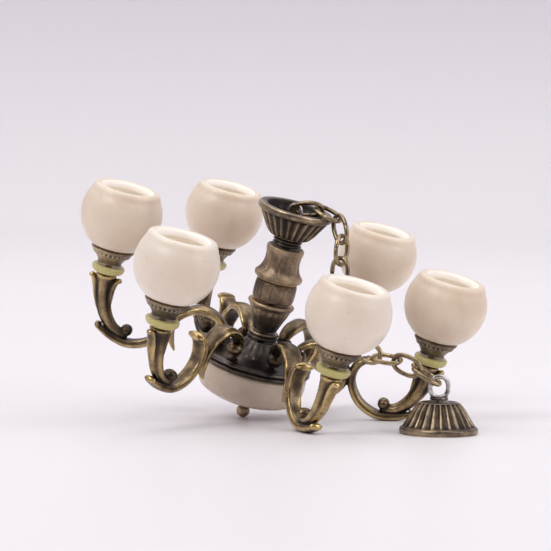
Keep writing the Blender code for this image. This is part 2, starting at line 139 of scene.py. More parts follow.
# Softboxes, in metres: place, size, power and colour. They face the middle of the object.
AIM = (0, 0, 0.02)
SOFTBOXES = {
    "key": ((-0.8, -0.9, 1.1), (0.9, 0.9), 11.0, (1, 0.985, 0.97)),
    "fill": ((1.0, -0.6, 0.6), (0.8, 0.8), 5.0, (0.96, 0.97, 1)),
    "top": ((0.0, 0.3, 1.3), (1.4, 1.4), 6.4, (1, 1, 1)),
}
WORLD_COLOUR, WORLD_STRENGTH = (0.95, 0.93, 0.97, 1), 0.73


# ---- where things are in the frame


def node_points(name):
    """The vertices of a CAD node, in metres."""
    mesh = bpy.data.objects[name].data
    points = np.empty(len(mesh.vertices) * 3)
    mesh.vertices.foreach_get("co", points)
    return points.reshape(-1, 3)


def column_matrix():
    """Upright chandelier, in metres, to the frame: from the rod's ends, the finial and a globe."""
    rod = node_points("centre_rod")
    along = rod.mean(axis=0) - node_points("finial").mean(axis=0)
    order = (rod - rod.mean(axis=0)) @ along
    low = rod[order < 0].mean(axis=0)
    high = rod[order > 0].mean(axis=0)
    axis = Vector(high - low).normalized()
    foot = Vector(low) - axis * ROD_BOTTOM * MM
    out = Vector(node_points("globe_right").mean(axis=0)) - foot
    ahead = (out - axis * out.dot(axis)).normalized()
    turn = Matrix((ahead, axis.cross(ahead), axis)).transposed().to_4x4()
    return Matrix.Translation(foot) @ turn


def link_matrix(name):
    """Centre and axes of a chain link: X along it, Y square to its face."""
    points = node_points(name)
    centre = points.mean(axis=0)
    _, _, axes = np.linalg.svd(points - centre, full_matrices=False)
    along, across = Vector(axes[0]), Vector(axes[1])
    turn = Matrix((along, across.cross(along), across)).transposed().to_4x4()
    return Matrix.Translation(centre) @ turn


# ---- mesh tools, in millimetres until a mesh is placed


def through(points, steps=6):
    """A centripetal Catmull-Rom curve through points. A point given twice makes a corner."""
    points = [np.array(p, float) for p in points]
    runs, run = [], [points[0]]
    for p in points[1:]:
        if np.allclose(p, run[-1]):
            runs.append(run)
            run = [p]
        else:
            run.append(p)
    runs.append(run)
    path = []
    for run in runs:
        if len(run) == 1:
            continue
        padded = [2 * run[0] - run[1], *run, 2 * run[-1] - run[-2]]
        for a, b, c, d in zip(padded, padded[1:], padded[2:], padded[3:]):
            t = np.cumsum([0] + [max(np.linalg.norm(q - p), 1e-6) ** 0.5
                                 for p, q in ((a, b), (b, c), (c, d))])
            for s in np.linspace(t[1], t[2], steps, endpoint=False):
                ab = a + (b - a) * (s - t[0]) / (t[1] - t[0])
                bc = b + (c - b) * (s - t[1]) / (t[2] - t[1])
                cd = c + (d - c) * (s - t[2]) / (t[3] - t[2])
                abc = ab + (bc - ab) * (s - t[0]) / (t[2] - t[0])
                bcd = bc + (cd - bc) * (s - t[1]) / (t[3] - t[1])
                path.append(abc + (bcd - abc) * (s - t[1]) / (t[2] - t[1]))
        path.append(run[-1])
    return np.array(path)


def skin(rings, close_path=False):
    """Vertices and faces over rings of points, with fans over open ends."""
    rings = np.asarray(rings)
    count, size = rings.shape[:2]
    index = np.arange(count * size).reshape(count, size)
    faces = []
    for i in range(count if close_path else count - 1):
        a, b = index[i], index[(i + 1) % count]
        for j in range(size):
            k = (j + 1) % size
            faces.append((a[j], b[j], b[k], a[k]))
    if not close_path:
        faces.append(tuple(index[0]))
        faces.append(tuple(index[-1][::-1]))
    return rings.reshape(-1, 3), faces


def shell(vertices, faces):
    """A mesh with its faces turned outwards."""
    mesh = bpy.data.meshes.new("shape")
    mesh.from_pydata([tuple(v) for v in vertices], [], [tuple(int(i) for i in f) for f in faces])
    work = bmesh.new()
    work.from_mesh(mesh)
    bmesh.ops.remove_doubles(work, verts=work.verts, dist=1e-4)
    bmesh.ops.recalc_face_normals(work, faces=work.faces)
    work.to_mesh(mesh)
    work.free()
    return mesh


def turned(profile, segments=96, shape=None):
    """Turns a profile of (radius, height) round Z; shape(angle, radii, heights) can press it."""
    profile = np.asarray(profile, float)
    rings = []
    for angle in np.linspace(0, 2 * math.pi, segments, endpoint=False):
        radii = profile[:, 0]
        if shape:
            radii = shape(angle, profile[:, 0], profile[:, 1])
        rings.append(np.stack([radii * math.cos(angle), radii * math.sin(angle), profile[:, 1]],
                              axis=1))
    return shell(*skin(rings, close_path=True))


def merged(meshes):
    """Several meshes as one."""
    work = bmesh.new()
    for mesh in meshes:
        work.from_mesh(mesh)
        bpy.data.meshes.remove(mesh)
    whole = bpy.data.meshes.new("merged")
    work.to_mesh(whole)
    work.free()
    return whole


def applied(mesh, *modifiers):
    """The mesh after modifiers, each a (type, settings) pair."""
    shape = bpy.data.objects.new("working", mesh)
    bpy.context.scene.collection.objects.link(shape)
    for kind, settings in modifiers:
        modifier = shape.modifiers.new(kind, kind)
        for key, value in settings.items():
            setattr(modifier, key, value)
    graph = bpy.context.evaluated_depsgraph_get()
    result = bpy.data.meshes.new_from_object(shape.evaluated_get(graph), depsgraph=graph)
    bpy.data.objects.remove(shape, do_unlink=True)
    return result


def cast(mesh, voxel, smoothing=6):
    """Fuses overlapping shapes into one casting with softened creases."""
    return applied(
        mesh,
        ("REMESH", {"mode": "VOXEL", "voxel_size": voxel}),
        ("SMOOTH", {"factor": 0.5, "iterations": smoothing}),
    )


def mark_wear_and_shade(mesh, rounds=3, inside=1.0):
    """Stores how far each vertex stands proud of its neighbours: 0 in hollows, 1 on edges.

    Faces that look in towards the Z axis are scaled by inside, which paints shade on them.
    """
    count = len(mesh.vertices)
    points = np.empty(count * 3)
    mesh.vertices.foreach_get("co", points)
    points = points.reshape(-1, 3)
    normals = np.empty(count * 3)
    mesh.vertices.foreach_get("normal", normals)
    normals = normals.reshape(-1, 3)
    edges = np.empty(len(mesh.edges) * 2, dtype=int)
    mesh.edges.foreach_get("vertices", edges)
    a, b = edges.reshape(-1, 2).T
    weight = np.bincount(a, minlength=count) + np.bincount(b, minlength=count)
    weight = np.maximum(weight, 1)

    def spread(values):
        total = np.zeros_like(values)
        np.add.at(total, a, values[b])
        np.add.at(total, b, values[a])
        return total / weight.reshape((-1,) + (1,) * (values.ndim - 1))

    mean = points
    for _ in range(rounds):
        mean = 0.3 * mean + 0.7 * spread(mean)
    proud = ((points - mean) * normals).sum(axis=1)
    for _ in range(2):
        proud = 0.5 * proud + 0.5 * spread(proud)
    scale = np.percentile(np.abs(proud), 92) + 1e-9
    wear_and_shade = np.clip(0.5 + 0.5 * proud / scale, 0, 1)
    # Painted shade: the inner faces, which get less light, are darkened by the factor inside.
    wear_and_shade[(points[:, :2] * normals[:, :2]).sum(axis=1) < 0] *= inside
    marks = mesh.attributes.new("wear_and_shade", "FLOAT", "POINT").data
    marks.foreach_set("value", wear_and_shade.astype(np.float32))
    return mesh


def shaded_by_height(mesh, *stops):
    """Adds painted light and shade to the wear mark by height: stops are (height, amount), from
    the bottom up.
    """
    heights, amounts = zip(*stops)
    for vertex, wear_and_shade in zip(mesh.vertices, mesh.attributes["wear_and_shade"].data):
        wear_and_shade.value = min(1.0, max(0.0, wear_and_shade.value + np.interp(vertex.co.z, heights, amounts)))
    return mesh


def dulled(mesh, *balls):
    """Takes most of the shine off balls given as for pebble, which rubbing does not reach."""
    for vertex, wear_and_shade in zip(mesh.vertices, mesh.attributes["wear_and_shade"].data):
        for x, z, radius, _ in balls:
            if (vertex.co - Vector((x, 0, z))).length < 1.4 * radius:
                wear_and_shade.value = min(wear_and_shade.value, 0.3 + 0.3 * wear_and_shade.value)
    return mesh


def piece(name, mesh, material, matrix, body, slot, *nodes):
    """Places a mesh made in millimetres on the named body, and hides the CAD nodes it stands for;
    the slot is not used.
    """
    mesh = mesh.copy()
    mesh.transform(matrix @ Matrix.Scale(MM, 4))
    mesh.materials.append(material)
    mesh.shade_smooth()
    made = bpy.data.objects.new(name, mesh)
    bpy.context.scene.collection.objects.link(made)
    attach(made, body)
    if nodes:
        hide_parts(*nodes)


# ---- materials


class Nodes:
    """A material's nodes, built one after another."""

    def __init__(self, name):
        self.material = bpy.data.materials.new(name)
        self.material.use_nodes = True
        self.tree = self.material.node_tree
        self.bsdf = self.tree.nodes["Principled BSDF"]
        metres = self.tree.nodes.new("ShaderNodeTexCoord").outputs["Object"]
        self.place = self.add("Mapping", {0: metres, 3: (1 / MM, 1 / MM, 1 / MM)}).outputs[0]

    def add(self, kind, inputs=(), **settings):
        """A shader node; an input can be a value or another node's socket."""
        node = self.tree.nodes.new(f"ShaderNode{kind}")
        for key, value in settings.items():
            setattr(node, key, value)
        for key, value in dict(inputs).items():
            if isinstance(value, bpy.types.NodeSocket):
                self.tree.links.new(value, node.inputs[key])
            else:
                node.inputs[key].default_value = value
        return node

    def noise(self, scale, detail=3, rough=0.55, stretch=(1, 1, 1)):
        """Noise over the piece's own millimetres, about scale bumps to the millimetre."""
        at = self.add("Mapping", {0: self.place, 3: stretch}).outputs[0]
        node = self.add("TexNoise", {"Vector": at, "Scale": scale, "Detail": detail,
                                     "Roughness": rough})
        return node.outputs["Fac"]

    def math(self, operation, a, b, clamp=False):
        return self.add("Math", {0: a, 1: b}, operation=operation, use_clamp=clamp).outputs[0]

    def span(self, value, low, high, to_low=0.0, to_high=1.0):
        """The value stretched from low..high to to_low..to_high, and kept within it."""
        return self.add("MapRange", {0: value, 1: low, 2: high, 3: to_low, 4: to_high}).outputs[0]

    def ramp(self, value, *stops):
        """Colours at places from 0 to 1, given as (place, colour) in rising order."""
        node = self.add("ValToRGB", {0: value})
        ends = node.color_ramp.elements
        while len(ends) < len(stops):
            ends.new(0.5)
        for end, (at, colour) in zip(ends, stops):
            end.position = at
            end.color = (*colour, 1)
        return node.outputs[0]

    def mix(self, amount, a, b):
        return self.add("Mix", {0: amount, 6: a, 7: b}, data_type="RGBA").outputs[2]

    def bump(self, height, strength, distance, under=None):
        inputs = {"Height": height, "Strength": strength, "Distance": distance}
        if under:
            inputs["Normal"] = under
        return self.add("Bump", inputs).outputs[0]

    def finish(self, **inputs):
        """Sets the shader's inputs by name, with _ for a space, and gives the material."""
        for key, value in inputs.items():
            socket = self.bsdf.inputs[key.replace("_", " ")]
            if isinstance(value, bpy.types.NodeSocket):
                self.tree.links.new(value, socket)
            else:
                socket.default_value = value
        return self.material


def antique(name, hollow, body, proud, roughness, lift):
    """Patinated casting: nearly black in the hollows, brown on the flats, bright where worn; the
    wear mark also carries painted light and shade.
    """
    made = Nodes(name)
    wear_and_shade = made.add("Attribute", attribute_name="wear_and_shade").outputs["Fac"]
    patch = made.noise(0.11, 2)
    cloud = made.noise(0.6, 4)
    speck = made.noise(4.0, 3, 0.7)
    shade = made.math("ADD", wear_and_shade, made.span(patch, 0.35, 0.65, -0.2 + lift, 0.14 + lift))
    shade = made.math("ADD", shade, made.span(cloud, 0.3, 0.7, -0.12, 0.12))
    shade = made.math("ADD", shade, made.span(speck, 0.35, 0.65, -0.06, 0.06), clamp=True)
    colour = made.ramp(shade, (0.1, hollow), (0.4, [0.5 * c for c in body]), (0.58, body),
                       (0.78, [0.5 * (b + p) for b, p in zip(body, proud)]), (1.0, proud))
    rough = made.span(made.math("ADD", shade, made.span(speck, 0.3, 0.7, -0.2, 0.2)),
                      0.1, 1.0, roughness + 0.16, roughness - 0.04)
    pits = made.bump(made.noise(7.0, 2), 0.3, 0.02 * MM)
    cast_skin = made.bump(made.noise(1.6, 3), 0.45, 0.08 * MM, pits)
    return made.finish(Base_Color=colour, Metallic=made.span(shade, 0.05, 0.4, 0.55, 1.0),
                       Roughness=rough, Normal=cast_skin)


def resin(name, pale, deep, roughness, subsurface):
    """Tumbled resin: clouded, a little translucent, with the odd warm speck.

    A hollow is painted paler and given a faint painted glow, standing in for the light that comes
    through its thin wall.
    """
    grain, painted_glow = 0.175, 0.07
    made = Nodes(name)
    cloud = made.noise(0.16, 3, 0.5)
    fine = made.noise(2.2, 4, 0.6, (1, 1, 1.6))
    tint = made.math("ADD", made.span(cloud, 0.35, 0.68), made.span(fine, 0.3, 0.7, -grain, grain),
                     clamp=True)
    colour = made.mix(tint, (*pale, 1), (*deep, 1))
    dots = made.add("TexVoronoi", {"Vector": made.place, "Scale": 0.33}).outputs["Distance"]
    warm = [0.86 * deep[0], 0.62 * deep[1], 0.55 * deep[2], 1]
    colour = made.mix(made.span(dots, 0.02, 0.09, 0.5, 0.0), colour, warm)
    # Painted light: the hollow is paler and glows faintly, though nothing in it is a lamp.
    hollow = made.add("Attribute", attribute_name="hollow").outputs["Fac"]
    colour = made.mix(hollow, colour, (0.96, 0.89, 0.8, 1))
    rough = made.span(fine, 0.3, 0.7, roughness - 0.05, roughness + 0.07)
    tumbled_skin = made.bump(made.noise(1.1, 4), 0.25, 0.05 * MM)
    return made.finish(Base_Color=colour, Roughness=rough, Normal=tumbled_skin,
                       Subsurface_Weight=made.span(hollow, 0, 1, subsurface, 0.1),
                       Subsurface_Radius=(1.0, 0.85, 0.75), Subsurface_Scale=2.5 * MM,
                       Emission_Color=(1, 0.92, 0.82, 1),
                       Emission_Strength=made.math("MULTIPLY", hollow, painted_glow),
                       Coat_Weight=0.15, Coat_Roughness=0.25)


def silver_wire():
    """Plain drawn wire, tarnished in patches."""
    made = Nodes("silver_wire")
    drawn = made.noise(0.7, 3, 0.5)
    colour = made.ramp(drawn, (0.35, (0.28, 0.25, 0.23)), (0.62, (0.74, 0.71, 0.69)))
    return made.finish(Base_Color=colour, Metallic=1.0,
                       Roughness=made.span(drawn, 0.3, 0.7, 0.2, 0.36),
                       Normal=made.bump(made.noise(2.0, 2), 0.2, 0.02 * MM))


def table_paper():
    """Pale sheet with a faint sheen, and painted shade that darkens the backdrop towards its top.
    """
    made = Nodes("table_paper")
    cloud = made.noise(0.01, 3)
    colour = made.mix(cloud, (0.84, 0.812, 0.832, 1), (0.868, 0.84, 0.86, 1))
    # Painted shade: darker with height up the backdrop.
    height = made.add("SeparateXYZ", {0: made.place}).outputs["Z"]
    colour = made.mix(made.span(height, 0, 150, 0, 1), colour, (0.65, 0.622, 0.655, 1))
    return made.finish(Base_Color=colour, Roughness=0.4, Specular_IOR_Level=0.3)


# ---- sections swept along an arm's curves


def dip(angle, at, width):
    """1 at an angle in degrees, falling away over a width, on both sides of the piece."""
    apart = (math.degrees(angle) - at + 180) % 360 - 180
    mirror = (-math.degrees(angle) - at + 180) % 360 - 180
    return math.exp(-(apart / width) ** 2) + (
        math.exp(-(mirror / width) ** 2) if at % 180 else 0)


def boxy(angle, power):
    """A point of a round outline that a power under 1 squares off."""
    c, s = math.cos(angle), math.sin(angle)
    return math.copysign(abs(c) ** power, c), math.copysign(abs(s) ** power, s)


def sweep(path, section, steps=7, sides=56):
    """Lofts section(angle, along) round a path of x, z, half thickness and half width.

    Angle 0 faces outwards, which is to the right of the direction of travel.
    """
    path = through(path, steps)
    ways = np.gradient(path[:, :2], axis=0)
    ways /= np.linalg.norm(ways, axis=1)[:, None]
    rings = []
    for (x, z, thick, wide), (dx, dz), along in zip(path, ways, np.linspace(0, 1, len(path))):
        ring = []
        for angle in np.linspace(0, 2 * math.pi, sides, endpoint=False):
            out, aside = section(angle, along)
            ring.append((x + dz * thick * out, wide * aside, z - dx * thick * out))
        rings.append(ring)
    return shell(*skin(rings))


def blade_section(angle, along):
    """Two strands with a groove between them at the sides, hollow on the inner face."""
    out, aside = boxy(angle, 0.8)
    press = 1 - 0.12 * dip(angle, 104, 14)
    return out * (press - 0.28 * dip(angle, 180, 44)), aside * press


def leaf_section(angle, along):
    """Acanthus ribbon: midrib between two grooves, rolled edges, veins and notched sides."""
    out, aside = boxy(angle, 0.85)
    vein = 0.5 + 0.5 * math.cos(2 * math.pi * 7 * along + 2.5 * abs(aside))
    press = 1 - 0.05 * dip(angle, 42, 9) - 0.07 * dip(angle, 100, 13)
    notch = 0.07 * abs(math.sin(math.pi * 5 * along)) ** 6
    return (out * (press - 0.4 * dip(angle, 180, 42) - 0.05 * vein * dip(angle, 68, 26)),
            aside * (press - notch))


def trumpet_section(angle, along):
    """Four broad ribs with deep grooves between them."""
    groove = (1 - abs(math.cos(2 * angle))) ** 1.7
    press = 1 - 0.15 * groove * min(1, 2.2 * (1.15 - along))
    return math.cos(angle) * press, math.sin(angle) * press


def plain_section(angle, along):
    return boxy(angle, 0.85)


def pebble(x, z, radius, wide):
    """A ball with its width along Y, where a curl ends."""
    profile = [(radius * math.sin(a), wide * math.cos(a)) for a in np.linspace(0, math.pi, 13)]
    ball = turned([(0, -wide), *profile[::-1][1:-1], (0, wide)], 24)
    ball.transform(Matrix.Translation((x, 0, z)) @ Matrix.Rotation(math.pi / 2, 4, "X"))
    return ball


# ---- the arm


def mouth_leaf(side):
    """Pointed leaf up one side of the trumpet, its tip turned away under the washer."""
    path = [(LAMP_REACH + side * reach - drift, z, thick, wide)
            for reach, drift, z, thick, wide in MOUTH_LEAF]
    return sweep(path, plain_section, 6, 32)


def turned_at(reach, profile, segments):
    """A turned part whose axis stands at a reach from the column's."""
    part = turned(profile, segments)
    part.transform(Matrix.Translation((reach, 0, 0)))
    return part


def arm_shape():
    """The arm as one casting: scroll, arch, trumpet, leaves, curls and peg."""
    cx, cz = SCROLL_CENTRE
    scroll = [(cx + r * math.cos(math.radians(a)), cz + r * math.sin(math.radians(a)), *half)
              for a, r, *half in SCROLL]
    horn, tip = scroll[0], scroll[-1]
    parts = [
        sweep(scroll, blade_section),
        sweep(ARCH, leaf_section, 9),
        mouth_leaf(1),
        mouth_leaf(-1),
        sweep(TRUMPET, trumpet_section, 8, 72),
        pebble(*CURL_BALL),
        pebble(*HUB_BALL),
        turned_at(HUB_PEG_REACH, [(0, 10.3), (0.5, 10.3), (0.5, 12.9), (0, 12.9)], 32),
        turned_at(FOOT_REACH, [(0, 11.75), (1.0, 11.75), (0.8, 12.2), (0, 12.3)], 48),
        turned_at(LAMP_REACH, [(0, 16.9), (1.55, 16.9), (1.8, 17.5), (1.75, 17.8), (0, 17.8)], 48),
        pebble(horn[0] + 0.1, horn[1], 0.72, 1.75),
        pebble(tip[0] - 0.1, tip[1] + 0.1, 0.6, 1.15),
    ]
    return dulled(mark_wear_and_shade(cast(merged(parts), 0.1, 3), rounds=90), CURL_BALL, HUB_BALL)


# ---- turned and pressed pieces, upright, in millimetres


def with_bore(outer, bore=BORE):
    """Closes an outer profile, given from top to bottom, with a bore through the middle."""
    top, bottom = outer[0], outer[-1]
    outer = through(outer, 7)
    return [*outer, (bore, bottom[1]), (bore, top[1])]


def doubled(*points):
    """Points of which those marked with a trailing True are sharp corners."""
    path = []
    for point in points:
        path.extend([point[:2]] * (2 if len(point) == 3 else 1))
    return path


def finial_shape():
    ball = [(1.15 * math.sin(a), 1.15 + 1.15 * math.cos(a))
            for a in np.linspace(math.radians(50), math.pi, 9)[:-1]]
    outer = doubled((0.6, 3.9), (0.6, 2.55, True), (1.35, 2.5, True), (1.5, 2.3),
                    (1.35, 2.08, True), (0.72, 1.98))
    return turned([(0, 3.9), *through([*outer, *ball], 4), (0, 0)], 64)


def dish_shape():
    outer = [(8.8, 9.3), (9.15, 9.1), (9.3, 8.0), (9.2, 6.5), (8.7, 4.9), (7.7, 4.2), (6.6, 3.7),
             (3.7, 2.95), (1.9, 2.7), (1.6, 2.7)]
    return turned(with_bore(outer), 160)


def mound_lobes(angle, radii, heights):
    """Twelve leaf lobes and a ring of small bosses on the hub cap's dome."""
    dome = np.clip((radii - 2.2) / 1.5, 0, 1) * np.clip((8.2 - radii) / 1.2, 0, 1)
    lobe = 0.22 * (abs(math.cos(6 * angle)) ** 0.6 - 1)
    boss = 0.18 * max(0.0, math.cos(24 * angle)) * np.exp(-((heights - 11.9) / 0.3) ** 2)
    return radii + (lobe + boss) * dome * (heights > 10.9)


def hub_cap_shape():
    outer = doubled((2.3, 14.2, True), (2.6, 14.2), (3.0, 13.75), (3.5, 13.1), (4.4, 12.2),
                    (5.6, 11.55), (7.4, 11.3), (8.5, 11.25, True), (8.9, 11.2), (9.35, 11.0),
                    (9.6, 10.65), (9.25, 10.28, True), (9.6, 9.98), (9.45, 9.68), (9.15, 9.6))
    return turned(with_bore(outer), 288, mound_lobes)


def rings_shape(radius, low, waist, thickness):
    """Two rolls, one on the other."""
    mid = low + thickness
    roll = [(radius * 0.93, mid + thickness), (radius, mid + thickness / 2), (waist, mid)]
    second = [(waist, mid), (radius, mid - thickness / 2), (radius * 0.93, low)]
    return turned(with_bore([*roll, *second]), 96)


def baluster_lobes(count, depth, low, high):
    """A shape that presses upright lobes into a bead between two heights."""
    def shape(angle, radii, heights):
        groove = (1 - abs(math.cos(count / 2 * angle))) ** 1.6
        inside = np.clip((heights - low) / 0.5, 0, 1) * np.clip((high - heights) / 0.5, 0, 1)
        return radii - depth * groove * inside * (radii > 1.5)
    return shape


def lower_baluster_shape():
    outer = doubled((3.5, 21.1, True), (3.9, 21.0), (4.02, 20.7), (3.85, 20.35, True), (3.6, 20.0),
                    (3.3, 19.1), (2.9, 18.2), (2.45, 17.1), (2.15, 16.3), (2.0, 16.0))
    return turned(with_bore(outer), 240, baluster_lobes(10, 0.13, 15.6, 20.2))


def band_flutes(angle, radii, heights):
    """Flat facets of uneven width with narrow grooves between them."""
    warped = 12 * (angle + 0.07 * math.sin(3 * angle + 1)) / (2 * math.pi)
    apart = abs(warped - round(warped))
    groove = 0.16 * math.exp(-(apart / 0.06) ** 2)
    flat = 0.07 * (1 - 2 * apart)
    inside = np.clip((heights - 21.45) / 0.2, 0, 1) * np.clip((24.75 - heights) / 0.2, 0, 1)
    return radii - (groove + flat) * inside * (radii > 1.5)


def fluted_band_shape():
    outer = doubled((3.25, 24.8, True), (3.5, 24.6), (3.6, 24.2), (3.62, 22.2), (3.5, 21.6),
                    (3.25, 21.4))
    return turned(with_bore(outer), 288, band_flutes)


def upper_baluster_shape():
    outer = doubled((2.5, 31.0, True), (3.0, 31.0), (3.2, 30.85, True), (3.24, 30.4), (3.1, 29.7),
                    (3.02, 28.7), (3.15, 27.7), (3.45, 26.9), (3.85, 26.35), (4.08, 26.1, True),
                    (4.15, 25.8), (4.08, 25.45, True), (3.75, 25.3, True), (3.72, 25.1))
    return turned(with_bore(outer), 240, baluster_lobes(10, 0.09, 26.2, 30.9))


def rod_shape():
    return turned([(0, ROD_TOP), (ROD_RADIUS, ROD_TOP), (ROD_RADIUS, ROD_BOTTOM),
                   (0, ROD_BOTTOM)], 32)


def bell_flutes(angle, radii, heights):
    """Rounded ribs up the side, dying out over a smooth rim band and under the flat top."""
    rib = abs(math.cos(BELL_FLUTES / 2 * angle)) ** 3
    inside = np.clip((heights - 1.05) / 0.35, 0, 1) * np.clip((BELL_HEIGHT - heights) / 0.25, 0, 1)
    outside = np.clip((radii - (4.9 - 0.32 * heights)) / 0.2, 0, 1)
    return radii - 0.42 * (1 - rib) * inside * outside


def bell_shape(bore):
    """Thin-walled fluted bell standing on its rim, with a bore through its flat top."""
    top, rim = BELL_HEIGHT, BELL_RIM
    outer = doubled((bore, top, True), (2.55, top, True), (3.0, top - 0.03), (3.5, top - 0.28),
                    (4.15, top - 1.0), (4.95, 2.9), (5.65, 1.75), (5.98, 1.2, True),
                    (rim - 0.16, 1.05), (rim, 0.8), (rim - 0.02, 0.25), (rim - 0.16, 0.0, True))
    inner = doubled((BELL_MOUTH + 0.1, 0.0, True), (BELL_MOUTH, 0.1), (4.75, 0.9), (4.25, 2.2),
                    (3.5, 3.9), (3.3, top - BELL_WALL, True), (bore, top - BELL_WALL, True))
    profile = through([*outer, *inner[:-1]], 5)
    return turned([*profile[:-1], (bore, top - BELL_WALL)], BELL_FLUTES * 16, bell_flutes)


def washer_shape():
    low, high, rim = WASHER_BOTTOM, WASHER_BOTTOM + WASHER_THICKNESS, WASHER_RADIUS
    outer = doubled((rim - 0.5, high), (rim - 0.12, high - 0.12), (rim, high - 0.4),
                    (rim - 0.05, low + 0.62, True), (rim - 0.25, low + 0.3), (rim - 0.75, low))
    return turned(with_bore(outer, PIN_BORE), 96)


def dentils(angle, radii, heights):
    """A row of small teeth under the lip of a lamp cup."""
    row = np.exp(-((heights - (CUP_BOTTOM + CUP_HEIGHT - 0.8)) / 0.22) ** 6)
    gap = 0.5 - 0.5 * math.tanh(6 * math.cos(DENTILS * angle))
    return radii - 0.22 * row * gap * (radii > 2.2)


def lamp_cup_shape():
    low, high = CUP_BOTTOM, CUP_BOTTOM + CUP_HEIGHT
    rim = CUP_RADIUS + 0.12
    outer = doubled((rim - 0.2, high, True), (rim - 0.03, high - 0.08), (rim, high - 0.22),
                    (rim - 0.1, high - 0.4, True), (rim - 0.2, high - 0.52),
                    (rim - 0.4, high - 0.86), (rim - 0.55, high - 1.15, True),
                    (2.9, high - 1.25), (2.55, low + 1.05), (2.22, low + 0.6),
                    (CUP_WAIST, low + 0.15), (CUP_WAIST + 0.1, low))
    return turned(with_bore(outer, PIN_BORE), DENTILS * 12, dentils)


def globe_shape():
    """Round lamp globe with a flat base, a thick rolled lip and a rounded hollow."""
    mouth = GLOBE_MOUTH - 0.3
    lip = [(mouth, 3.55), (mouth + 0.08, 4.0), (mouth + 0.35, 4.45), (mouth + 0.8, 4.73),
           (5.2, GLOBE_LIP - 0.05), (5.65, 4.5)]
    side = [(GLOBE_RADIUS * math.sin(a), GLOBE_RADIUS * math.cos(a))
            for a in np.radians(np.linspace(60, 145, 13))]
    foot = [(3.75, GLOBE_BASE), (3.55, GLOBE_BASE)]
    floor = GLOBE_BASE + GLOBE_WALL
    inner = GLOBE_RADIUS - GLOBE_WALL
    hollow = [(inner * math.sin(a), inner * math.cos(a))
              for a in np.radians(np.linspace(140, 55, 12))]
    outer = through([*lip, *side, *foot], 4)
    inside = through([(3.2, floor), *hollow, lip[0]], 3)[:-1]
    profile = [*outer, (PIN_BORE, GLOBE_BASE), (PIN_BORE, floor), *inside]
    globe = turned([(r, h + GLOBE_CENTRE) for r, h in profile], 144)
    # Marks the hollow, where the resin paints light and a glow.
    marks = globe.attributes.new("hollow", "FLOAT", "POINT").data
    for vertex, mark in zip(globe.vertices, marks):
        radius, rise = math.hypot(*vertex.co.xy), vertex.co.z - GLOBE_CENTRE
        deep = math.hypot(radius, rise) < GLOBE_RADIUS - 0.4 * GLOBE_WALL
        mark.value = float(deep and rise > GLOBE_BASE + 0.5)
    return globe


def lamp_pin_shape():
    head = GLOBE_CENTRE + GLOBE_BASE + GLOBE_WALL + 0.2
    foot = WASHER_BOTTOM - 1.9
    dome = through(doubled((0, head + 0.6), (1.0, head + 0.56), (1.5, head + 0.35),
                           (1.6, head + 0.1), (1.5, head, True), (0.5, head)), 4)
    return turned([*dome, (0.5, foot), (0, foot)], 32)


# ---- wire pieces


def wire_ring(length, width, seam=True):
    """Oval ring of wire in the XZ plane, long in X, with the cut where it was bent shut."""
    long, short = (length - WIRE) / 2, (width - WIRE) / 2
    rings = []
    for t in np.linspace(0, 2 * math.pi, 96, endpoint=False):
        c, s = boxy(t, 0.85)
        centre = np.array([long * c, 0, short * s])
        ahead = np.array([-long * math.sin(t), 0, short * math.cos(t)])
        ahead /= np.linalg.norm(ahead)
        out = np.cross(ahead, (0, 1, 0))
        cut = 0.15 * math.exp(-((t - math.pi / 2) / 0.035) ** 2) if seam else 0
        half = DRAWN_WIRE / 2 * (1 - cut)
        rings.append([centre + half * (math.cos(a) * out + math.sin(a) * np.array((0, 1, 0)))
                      for a in np.linspace(0, 2 * math.pi, 20, endpoint=False)])
    return shell(*skin(rings, close_path=True))


def upright_ring(width, height, stem_bottom):
    """Wire ring standing on a stem, its lowest point at Z 0."""
    ring = wire_ring(height, width, seam=False)
    ring.transform(Matrix.Translation((0, 0, height / 2)) @ Matrix.Rotation(-math.pi / 2, 4, "Y"))
    half = WIRE / 2
    stem = turned([(0, half), (half, half), (half, stem_bottom), (0, stem_bottom)], 24)
    return cast(merged([ring, stem]), 0.07, 3)


def collar_shape():
    """The dark collar at the foot of the canopy's loop."""
    rim, top = COLLAR_RADIUS, COLLAR_HEIGHT
    outer = doubled((rim - 0.6, top, True), (rim - 0.3, top - 0.02), (rim - 0.02, top - 0.2),
                    (rim, 0.12), (rim - 0.15, 0.0, True))
    return turned([(0, top), *through(outer, 5), (0, 0.0)], 48)


# ---- assembly


def in_mm(stand, seat):
    """A seat given in millimetres on the upright chandelier, as a place in the frame in metres."""
    seat = seat.copy()
    seat.translation = seat.translation * MM
    return stand @ seat


